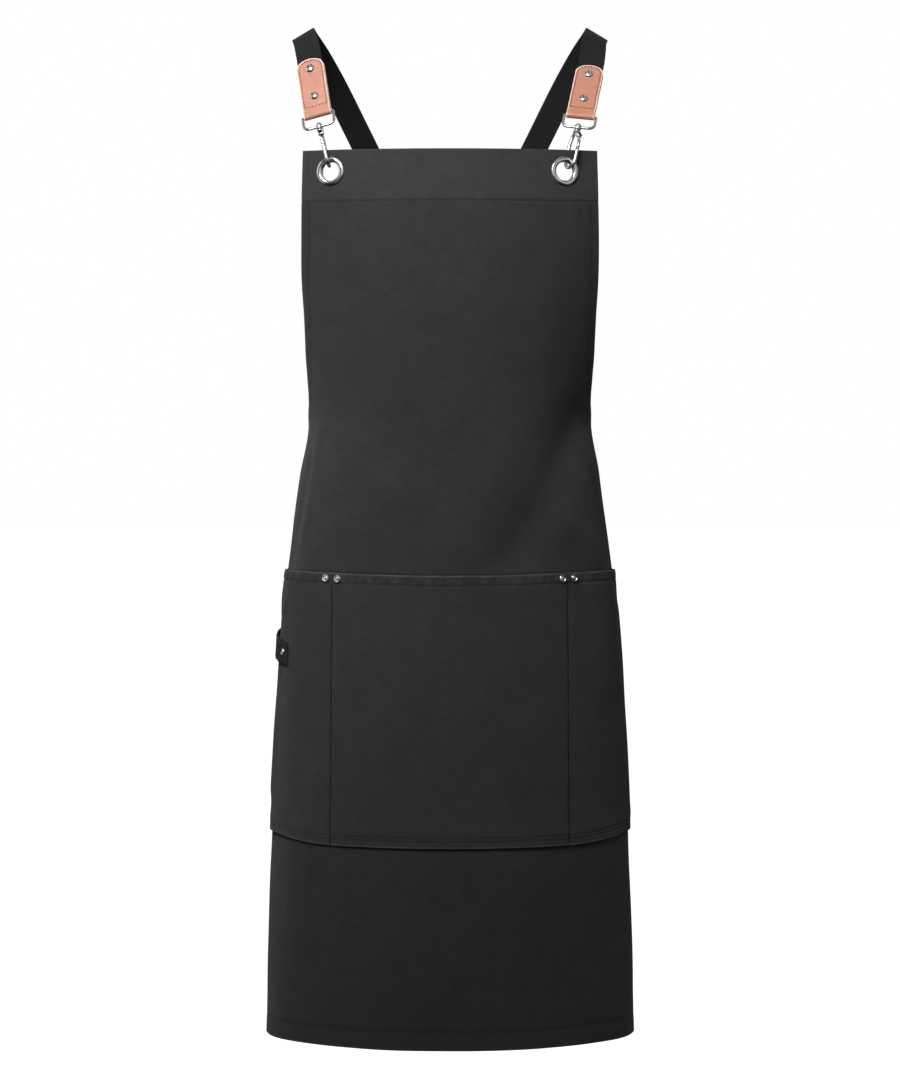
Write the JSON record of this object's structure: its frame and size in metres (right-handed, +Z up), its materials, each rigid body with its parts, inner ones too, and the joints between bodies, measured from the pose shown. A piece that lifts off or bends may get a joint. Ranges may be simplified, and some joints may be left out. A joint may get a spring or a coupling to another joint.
{
  "type": "cross back apron",
  "caption": "Bib apron worn on crossed back straps, with snap hooks clipped into eyelets, a full-width three-part pocket panel and a towel loop at one hip.",
  "frame": {"origin": "midway between the tops of the two shoulder straps, where the wearer's shoulders carry the apron", "axes": "+Z up, the front of the apron faces -Y, +X to the right as seen from the front"},
  "size_m": [0.366, 0.2337, 0.9904],
  "materials": {
    "canvas": "washed near-black cotton canvas, matt",
    "pocket_canvas": "washed near-black cotton canvas, matt",
    "webbing": "black woven cotton webbing, matt",
    "leather": "tan smooth leather, semi-matt, pale cut edges",
    "nickel": "polished nickel plate"
  },
  "bodies": {
    "apron": {"apron_body": "canvas", "pocket_panel": "pocket_canvas", "towel_loop": "webbing", "strap_left": "webbing", "strap_right": "webbing", "leather_tab_left": "leather", "leather_tab_right": "leather", "tab_rivet_left_upper": "nickel", "tab_rivet_left_lower": "nickel", "tab_rivet_right_upper": "nickel", "tab_rivet_right_lower": "nickel", "ring_left": "nickel", "ring_right": "nickel", "grommet_left": "nickel", "grommet_right": "nickel", "pocket_rivet_1": "nickel", "pocket_rivet_2": "nickel", "pocket_rivet_3": "nickel", "pocket_rivet_4": "nickel", "loop_rivet_front": "nickel", "loop_rivet_back": "nickel"},
    "snap_left": {"hook_left": "nickel"},
    "snap_right": {"hook_right": "nickel"},
    "gate_left": {"hook_gate_left": "nickel"},
    "gate_right": {"hook_gate_right": "nickel"}
  },
  "joints": [
    {"name": "swivel_left", "type": "hinge", "parent": "apron", "child": "snap_left", "pos_m": [-0.12561, -0.08542, -0.09775], "axis": [-0.2331, 0.268, 0.9348], "range_deg": [-12, 12]},
    {"name": "swivel_right", "type": "hinge", "parent": "apron", "child": "snap_right", "pos_m": [0.12302, -0.0883, -0.09881], "axis": [0.2195, 0.2195, 0.9506], "range_deg": [-18, 4]},
    {"name": "gate_hinge_left", "type": "hinge", "parent": "snap_left", "child": "gate_left", "pos_m": [-0.12411, -0.09208, -0.10477], "axis": [0.9652, -0.0534, 0.256], "range_deg": [0, 28], "stiffness_Nm_per_rad": 0.01, "springref_deg": -28.65},
    {"name": "gate_hinge_right", "type": "hinge", "parent": "snap_right", "child": "gate_right", "pos_m": [0.12394, -0.09372, -0.10692], "axis": [0.7475, 0.5883, -0.3084], "range_deg": [0, 28], "stiffness_Nm_per_rad": 0.01, "springref_deg": -28.65}
  ]
}
